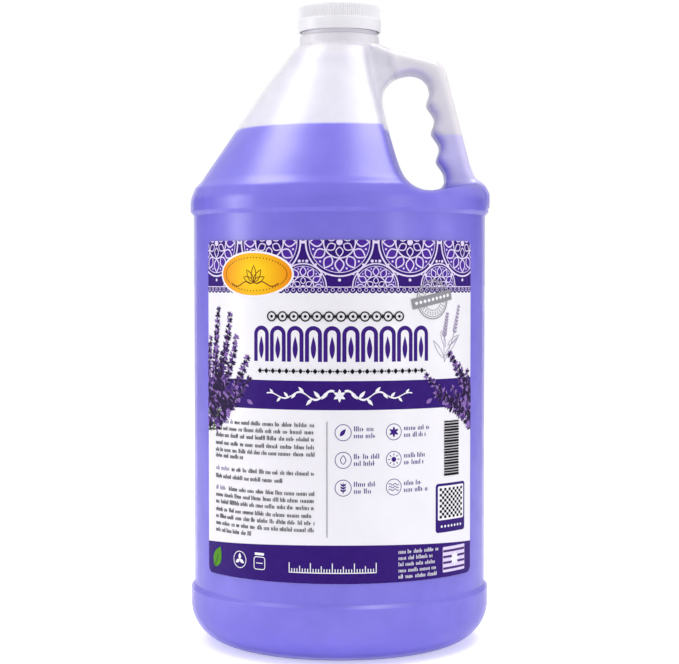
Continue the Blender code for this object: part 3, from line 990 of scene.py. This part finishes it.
def lower_band(ink, chance):
    """An arched purple band with a leaf, a ringed trefoil, a jar, a scale, ticks and a swatch."""
    arch = [(x, 54.4 + 2.9 * math.cos(x / LABEL_HALF * math.pi / 2)) for x in range(-76, 77, 4)]
    purple, white = ink["purple"], ink["white"]
    for (x0, y0), (x1, y1) in zip(arch, arch[1:]):
        patch(purple, [(x0, 39.0), (x1, 39.0), (x1, y1), (x0, y0)])
    leaf(ink["leaf"], -70.0, 42.6, 26, 11.4, 6.6, steps=12)
    stroke(ink["bud_dark"], [(-71.0, 40.8), (-66.6, 49.2)], 0.35)
    ring(white, -51.1, 48.2, 3.9, 0.35)
    flower(white, -51.1, 48.2, 3, 3.1, 1.7)
    stroke(white, block((-42.4, 44.6), (-36.4, 50.4), (1.2,) * 4), 0.4, closed=True)
    patch(white, block((-42.0, 51.2), (-36.8, 52.4), (0.3,) * 4))
    stroke(white, [(-41.2, 47.5), (-37.6, 47.5)], 0.4)
    stroke(white, [(-24.0, 44.4), (17.2, 44.4)], 0.4)
    for i in range(33):
        x, tall = -23.8 + 1.28 * i, 4.6 if i % 8 == 0 else 3.2 if i % 4 == 0 else 1.9
        stroke(white, [(x, 44.4), (x, 44.4 + tall)], 0.42)
    for i in range(5):
        tick_words(white, 28.2, 28.2 + chance.uniform(16, 23), 52.6 - 2.9 * i, 1.3, chance, 0.3)
    patch(ink["lilac"], block((53.6, 41.6), (70.2, 53.7), (0.5,) * 4))
    for i in range(4):
        z = 43.4 + 2.75 * i
        stroke(ink["bud"], [(53.8, z), (70.0, z)], 1.1)
    flower(white, 61.9, 47.6, 8, 3.3, 1.5)


INKS = {
    # name: colour and how far up it lies in the stack of inks
    "purple": ("2E0D70", 0), "title": ("371579", 0), "violet": ("4A2498", 0.6), "lilac": ("E6DAF8", 1.2),
    "green": ("55634A", 2), "mauve": ("A398B4", 2), "bud": ("4B2B75", 3), "bud_light": ("8C69B3", 4),
    "bud_dark": ("1F0B38", 5), "leaf": ("4F9218", 3), "white": ("F6F4FA", 5), "grey": ("918F96", 5.5),
    "gold": ("FFD21A", 6), "white_over": ("F6F4FA", 6.6), "amber": ("6E2C06", 7), "black": ("0A080D", 7),
}
FLORETS = ["bud"] * 4 + ["bud_light"] * 2 + ["bud_dark"] * 3


def make_label(film_material):
    """The film and everything printed on it, one piece for each ink."""
    bm = bmesh.new()
    patch(bm, block((-LABEL_HALF, LABEL_BOTTOM), (LABEL_HALF, LABEL_TOP), (LABEL_CORNER,) * 4))
    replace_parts(wrapped("label_film", bm, -LABEL_FILM, LABEL_FILM, film_material), "label")
    ink = {name: bmesh.new() for name in INKS}
    chance = random.Random(7)
    for draw in (lace_header, gold_oval, grey_stamp, title_friezes, ribbon, tallies):
        draw(ink)
    for draw in (lavender, small_print, ring_icons, lower_band):
        draw(ink, chance)
    for name, (colour, level) in INKS.items():
        clipped(ink[name])
        wrapped(f"ink_{name}", ink[name], INK_STEP * level, INK_STEP * 1.2, printed_ink(name, colour))


# ---------------------------------------------------------------- materials

def linear(hex_colour):
    """An sRGB hex colour as linear RGBA."""
    channels = [int(hex_colour[i:i + 2], 16) / 255 for i in (0, 2, 4)]
    return tuple(c / 12.92 if c <= 0.04045 else ((c + 0.055) / 1.055) ** 2.4 for c in channels) + (1.0,)


def feed(node, inputs):
    """Gives inputs, by number or name, a value or a link from a socket or a node's first output."""
    for key, value in inputs.items():
        socket = node.inputs[key] if isinstance(key, int) else next(
            s for s in node.inputs if s.enabled and s.name == key
        )
        if isinstance(value, bpy.types.Node):
            value = next(s for s in value.outputs if s.enabled)
        if isinstance(value, bpy.types.NodeSocket):
            node.id_data.links.new(value, socket)
        else:
            socket.default_value = value


def add(tree, kind, inputs=None, **settings):
    """Adds a shader node with its settings, and feeds its inputs."""
    node = tree.nodes.new("ShaderNode" + kind)
    for name, value in settings.items():
        setattr(node, name, value)
    feed(node, inputs or {})
    return node


def new_material(name, uniform):
    """A material with its uniform values; gives its tree, shader and Object coordinates too."""
    material = bpy.data.materials.new(name)
    material.use_nodes = True
    tree = material.node_tree
    shader = tree.nodes["Principled BSDF"]
    feed(shader, uniform)
    return material, tree, shader, add(tree, "TexCoord").outputs["Object"]


def mottled(tree, shader, place, scale, dark, light, detail):
    """Two near colours mixed in soft patches, for the base colour."""
    patches = add(tree, "TexNoise", {"Vector": place, "Scale": scale, "Detail": detail})
    share = add(tree, "MapRange", {"Value": patches, "From Min": 0.3, "From Max": 0.7})
    tint = add(tree, "Mix", {"Factor": share, "A": dark, "B": light}, data_type="RGBA")
    feed(shader, {"Base Color": tint})


def raised(tree, shader, height, strength, distance):
    """Relief from a height, up to a distance in millimetres."""
    bump = add(tree, "Bump", {"Height": height, "Strength": strength, "Distance": distance * MM})
    feed(shader, {"Normal": bump})


def natural_hdpe():
    """Unfilled HDPE, blow moulded: milky, with a wax-like gloss, broad and strong, over a fine grain.

    Two skins make each wall, so an alpha here works twice. A dry wall lets most light through, a
    wetted one takes on the oil's colour and hides more, and the pinched handle is thicker. The wetted
    handle is paler, partly from its thicker milky wall and partly by painted light, which stands in
    for light that spreads through the plastic into the handle.
    """
    material, tree, shader, place = new_material("natural_hdpe_blow_moulded", {
        "Roughness": 0.34, "IOR": 1.54, "Specular IOR Level": 0.9,
        "Coat Weight": 0.6, "Coat Roughness": 0.3,
    })
    axes = add(tree, "SeparateXYZ", {"Vector": place})
    across, depth, height = (axes.outputs[name] for name in "XYZ")
    off_seam = add(tree, "Math", {0: depth}, operation="ABSOLUTE")
    # The handle's side of a plane that leans through the finger hole
    past_hole = add(tree, "Math", {0: height, 1: 0.25, 2: across}, operation="MULTIPLY_ADD")
    clouds = add(tree, "TexNoise", {"Vector": place, "Scale": 45.0, "Detail": 3.0})
    # Each share goes from none to all between two places, in metres
    shares = {}
    for name, value, start, end in (
        ("outer", past_hole, 0.096, 0.101), ("lifted", height, 0.2255, 0.2295),
        ("narrow", off_seam, 0.0165, 0.0142),
        ("body_dry", height, (FILL_HEIGHT - WET_LINE) * MM, (FILL_HEIGHT + WET_LINE) * MM),
        ("handle_dry", height, (HANDLE_FILL - WET_LINE) * MM, (HANDLE_FILL + WET_LINE) * MM),
        ("neck", height, 0.286, 0.298), ("seam", off_seam, 0.0005, 0.0002), ("cloudy", clouds, 0.3, 0.7),
    ):
        limits = {"Value": value, "From Min": start, "From Max": end}
        shares[name] = add(tree, "MapRange", limits, interpolation_type="SMOOTHSTEP")
    grip = add(tree, "Math", {0: shares["outer"], 1: shares["lifted"]}, operation="MULTIPLY")
    grip = add(tree, "Math", {0: grip, 1: shares["narrow"]}, operation="MULTIPLY")
    dry = add(tree, "Mix", {"Factor": grip, "A": shares["body_dry"], "B": shares["handle_dry"]})
    # How much a skin hides, wetted and dry, in the body, the thick handle and the thick neck
    body = add(tree, "Mix", {"Factor": dry, "A": 0.6, "B": 0.36})
    thick = add(tree, "Mix", {"Factor": dry, "A": 0.9, "B": 0.75})
    veil = add(tree, "Mix", {"Factor": grip, "A": body, "B": thick})
    veil = add(tree, "Math", {0: shares["neck"], 1: 0.35, 2: veil}, operation="MULTIPLY_ADD")
    # Uneven stretch of the blown wall, in cloudy patches a few centimetres across
    stretch = add(tree, "Math", {0: shares["cloudy"], 1: 0.16, 2: 0.92}, operation="MULTIPLY_ADD")
    veil = add(tree, "Math", {0: veil, 1: stretch}, operation="MULTIPLY")
    # Light scatters back out of the wetted wall in the oil's colour; the wetted handle's tint is paler,
    # partly from its thicker wall and partly painted light for light spread through the plastic
    wetted, bare = (
        add(tree, "Mix", {"Factor": grip, "A": linear(thin), "B": linear(handle_tint)}, data_type="RGBA")
        for thin, handle_tint in (("897DF8", "D9D3FF"), ("FEFCFF", "FCF8FD"))
    )
    tint = add(tree, "Mix", {"Factor": dry, "A": wetted, "B": bare}, data_type="RGBA")
    tint = add(
        tree, "Mix", {"Factor": shares["neck"], "A": tint, "B": linear("FBF8FD")}, data_type="RGBA"
    )
    feed(shader, {"Alpha": veil, "Base Color": tint})
    # The grain of the mould, about half a millimetre, and the line where its halves meet
    grain = add(tree, "TexNoise", {"Vector": place, "Scale": 1900.0, "Detail": 2.0})
    relief = add(tree, "Math", {0: shares["seam"], 1: 3.0, 2: grain}, operation="MULTIPLY_ADD")
    raised(tree, shader, relief, 0.1, 0.1)
    return material


# What they are made of and how they look, with their uniform values, the scale, tints and detail
# of their patches, and a fine relief with its strength and its depth in millimetres
EVEN_MATERIALS = {
    # Dyed oil behind a milky wall: an even, deep violet blue that the wall softens
    "dyed_oil": (
        {"Roughness": 0.35, "Specular IOR Level": 0.7}, (18.0, "695DE9", "6D61ED", 2.0), (),
    ),
    # White PP, injection moulded: an even satin white with a faint fine texture
    "white_polypropylene_moulded": (
        {"Roughness": 0.36, "IOR": 1.49}, (120.0, "EFEEF2", "F3F2F5", 2.0),
        ("TexNoise", {"Scale": 2600.0, "Detail": 1.0}, 0.1, 0.05),
    ),
    # Foamed PE, sliced into discs: matt, with closed cells about half a millimetre across
    "foamed_polyethylene_liner": (
        {"Roughness": 0.75}, (900.0, "E4E2E0", "F2F1EF", 2.0),
        ("TexVoronoi", {"Scale": 2000.0}, 0.4, 0.1),
    ),
    # White PP film under a clear laminate: smooth and glossy, with a slight orange peel
    "white_label_film_laminated": (
        {"Roughness": 0.3}, (60.0, "F0EEF4", "F4F2F8", 3.0),
        ("TexNoise", {"Scale": 500.0, "Detail": 1.0}, 0.08, 0.1),
    ),
}


def even_material(name):
    """A material from the table above."""
    uniform, (scale, dark, light, detail), relief = EVEN_MATERIALS[name]
    material, tree, shader, place = new_material(name, uniform)
    mottled(tree, shader, place, scale, linear(dark), linear(light), detail)
    if relief:
        kind, inputs, strength, distance = relief
        raised(tree, shader, add(tree, kind, {"Vector": place, **inputs}), strength, distance)
    return material


def printed_ink(name, colour):
    """Flexographic ink under a matt varnish that hardly shines, uneven in patches of 2 to 3 mm."""
    material, tree, shader, place = new_material(f"{name}_ink_varnished", {
        "Roughness": 0.45, "IOR": 1.4, "Specular IOR Level": 0.18,
    })
    full = linear(colour)
    if name != "gold":
        thin = tuple(0.85 * c + 0.15 * c ** 0.7 for c in full[:3]) + (1.0,)
        mottled(tree, shader, place, 350.0, full, thin, 4.0)
        return material
    # Printed as a blend, from yellow in the middle to orange at the rim
    (x, z), radius = GOLD_OVAL, LABEL_RADIUS
    middle = Vector((radius * math.sin(x / radius), -radius * math.cos(x / radius), z)) * MM
    away = add(tree, "VectorMath", {0: place, 1: middle}, operation="DISTANCE").outputs["Value"]
    share = add(tree, "MapRange", {"Value": away, "From Min": 0.004, "From Max": 0.02})
    tint = add(tree, "Mix", {"Factor": share, "A": full, "B": linear(GOLD_RIM)}, data_type="RGBA")
    feed(shader, {"Base Color": tint})
    return material


# ---------------------------------------------------------------- stage

def cleared(owner):
    """The emptied node tree of a world or a material."""
    owner.use_nodes = True
    owner.node_tree.nodes.clear()
    return owner.node_tree


def make_world():
    """White all round, but for two low grey panels half way behind the jug, which darken its sides."""
    world = bpy.data.worlds.new("studio")
    bpy.context.scene.world = world
    tree = cleared(world)
    paths = add(tree, "LightPath").outputs
    seen = add(
        tree, "Math", {0: paths["Is Camera Ray"], 1: paths["Is Transmission Ray"]}, operation="MAXIMUM"
    )
    not_gathered = add(tree, "Math", {0: seen, 1: paths["Is Glossy Ray"]}, operation="MAXIMUM")
    sky = add(tree, "TexCoord").outputs["Generated"]
    toward = add(tree, "SeparateXYZ", {"Vector": sky}).outputs
    azimuth = add(tree, "Math", {0: toward["X"], 1: toward["Y"]}, operation="ARCTAN2")
    azimuth = add(tree, "Math", {0: azimuth}, operation="ABSOLUTE")
    off_panel = add(tree, "Math", {0: azimuth, 1: math.radians(PANEL_AZIMUTH)}, operation="SUBTRACT")
    off_panel = add(tree, "Math", {0: off_panel}, operation="ABSOLUTE")
    clear = add(tree, "MapRange", {
        "Value": off_panel, "From Min": math.radians(13), "From Max": math.radians(24), "To Min": 0.1,
    }, interpolation_type="SMOOTHSTEP")
    above = add(tree, "MapRange", {"Value": toward["Z"], "From Min": 0.12, "From Max": 0.35})
    clear = add(tree, "Math", {0: clear, 1: above}, operation="MAXIMUM")
    gathered = add(tree, "Math", {0: clear, 1: SKY_LIGHT}, operation="MULTIPLY")
    mirrored = add(tree, "Math", {0: clear, 1: SKY_MIRRORED}, operation="MULTIPLY")
    shown = add(tree, "Math", {0: mirrored, 1: seen}, operation="MAXIMUM")
    ambient, white = (
        add(tree, "Background", {"Color": (1, 1, 1, 1), "Strength": strength})
        for strength in (gathered, shown)
    )
    mix = add(tree, "MixShader", {"Fac": not_gathered, 1: ambient, 2: white})
    add(tree, "OutputWorld", {"Surface": mix})


def make_floor():
    """A pale matt floor, lit from beneath as well, that fades into the white behind it."""
    bm = bmesh.new()
    bmesh.ops.create_circle(bm, cap_ends=True, segments=64, radius=30.0)
    mesh = bpy.data.meshes.new("floor")
    bm.to_mesh(mesh)
    bm.free()
    material = bpy.data.materials.new("white_studio_floor")
    mesh.materials.append(material)
    tree = cleared(material)
    paths = add(tree, "LightPath").outputs
    matt = add(tree, "BsdfDiffuse", {"Color": linear("F3F2F5")})
    place = add(tree, "TexCoord").outputs["Object"]
    away = add(tree, "VectorMath", {0: place}, operation="LENGTH").outputs["Value"]
    # What the glow adds to the light, and how much brighter the eye sees the floor, more so far off
    near, far = (
        add(tree, "MapRange", {
            "Value": away, "From Min": start, "From Max": 1.2, "To Min": inner, "To Max": outer,
        })
        for start, inner, outer in ((0.3, 0.28, 0.0), (0.05, 0.16, 0.7))
    )
    # The jug's polished edges mirror less of that glow than their matt colour gathers
    unmirrored = add(
        tree, "Math", {0: paths["Is Glossy Ray"], 1: -0.6, 2: 1.0}, operation="MULTIPLY_ADD"
    )
    near = add(tree, "Math", {0: near, 1: unmirrored}, operation="MULTIPLY")
    lift = add(tree, "Math", {0: paths["Is Camera Ray"], 1: far, 2: near}, operation="MULTIPLY_ADD")
    glow = add(tree, "Emission", {"Strength": lift})
    both = add(tree, "AddShader", {0: matt, 1: glow})
    add(tree, "OutputMaterial", {"Surface": both})
    placed("floor", mesh)


def add_light(name, azimuth, distance, height, width, tall, power):
    """A softbox that faces the jug; azimuth is in degrees from -Y towards +X, power in watts."""
    light = bpy.data.lights.new(name, "AREA")
    light.shape = "RECTANGLE"
    light.size, light.size_y = width, tall
    light.energy = power
    lamp = placed(name, light)
    turned = math.radians(azimuth)
    lamp.location = (distance * math.sin(turned), -distance * math.cos(turned), height)
    lamp.rotation_euler = (Vector((0, 0, AIM_HEIGHT)) - lamp.location).to_track_quat("-Z", "Y").to_euler()


def make_camera():
    camera = bpy.data.cameras.new("camera")
    camera.lens = 94.04
    camera.sensor_width = 36.0
    view = placed("camera", camera)
    view.location = (0.0, -0.8912, 0.182)
    view.rotation_euler = (math.radians(90 - CAMERA_DIP), 0, 0)
    bpy.context.scene.camera = view


def main():
    make_camera()
    make_world()
    make_floor()
    add_light("left_softbox", -83, 1.2, 0.22, 0.3, 0.9, 3.8)
    add_light("right_softbox", 44, 1.2, 0.2, 0.2, 0.9, 1.5)
    add_light("far_right_softbox", 86, 1.2, 0.3, 0.24, 0.9, 0.9)
    add_light("high_left_softbox", -98, 0.62, 1.25, 0.55, 0.45, 5.0)
    add_light("high_right_softbox", 70, 0.5, 1.35, 0.78, 0.4, 6.2)
    plastic, cap_plastic = natural_hdpe(), even_material("white_polypropylene_moulded")
    rough_outer, rough_inner = frame_walls()
    outer = refined_wall(rough_outer, OUTSIDE, 0.0, 1.15)
    inner = refined_wall(rough_inner.copy(), INSIDE, WALL, 2.0)
    make_jug_shell(outer, inner, plastic)
    make_oil(refined_wall(rough_inner, INSIDE, WALL, 1.6, OIL_GAP), even_material("dyed_oil"))
    make_neck_thread(plastic)
    make_cap(cap_plastic)
    make_cap_thread(cap_plastic)
    make_liner(even_material("foamed_polyethylene_liner"))
    make_label(even_material("white_label_film_laminated"))


main()
bpy.context.scene.view_settings.view_transform = "Standard"
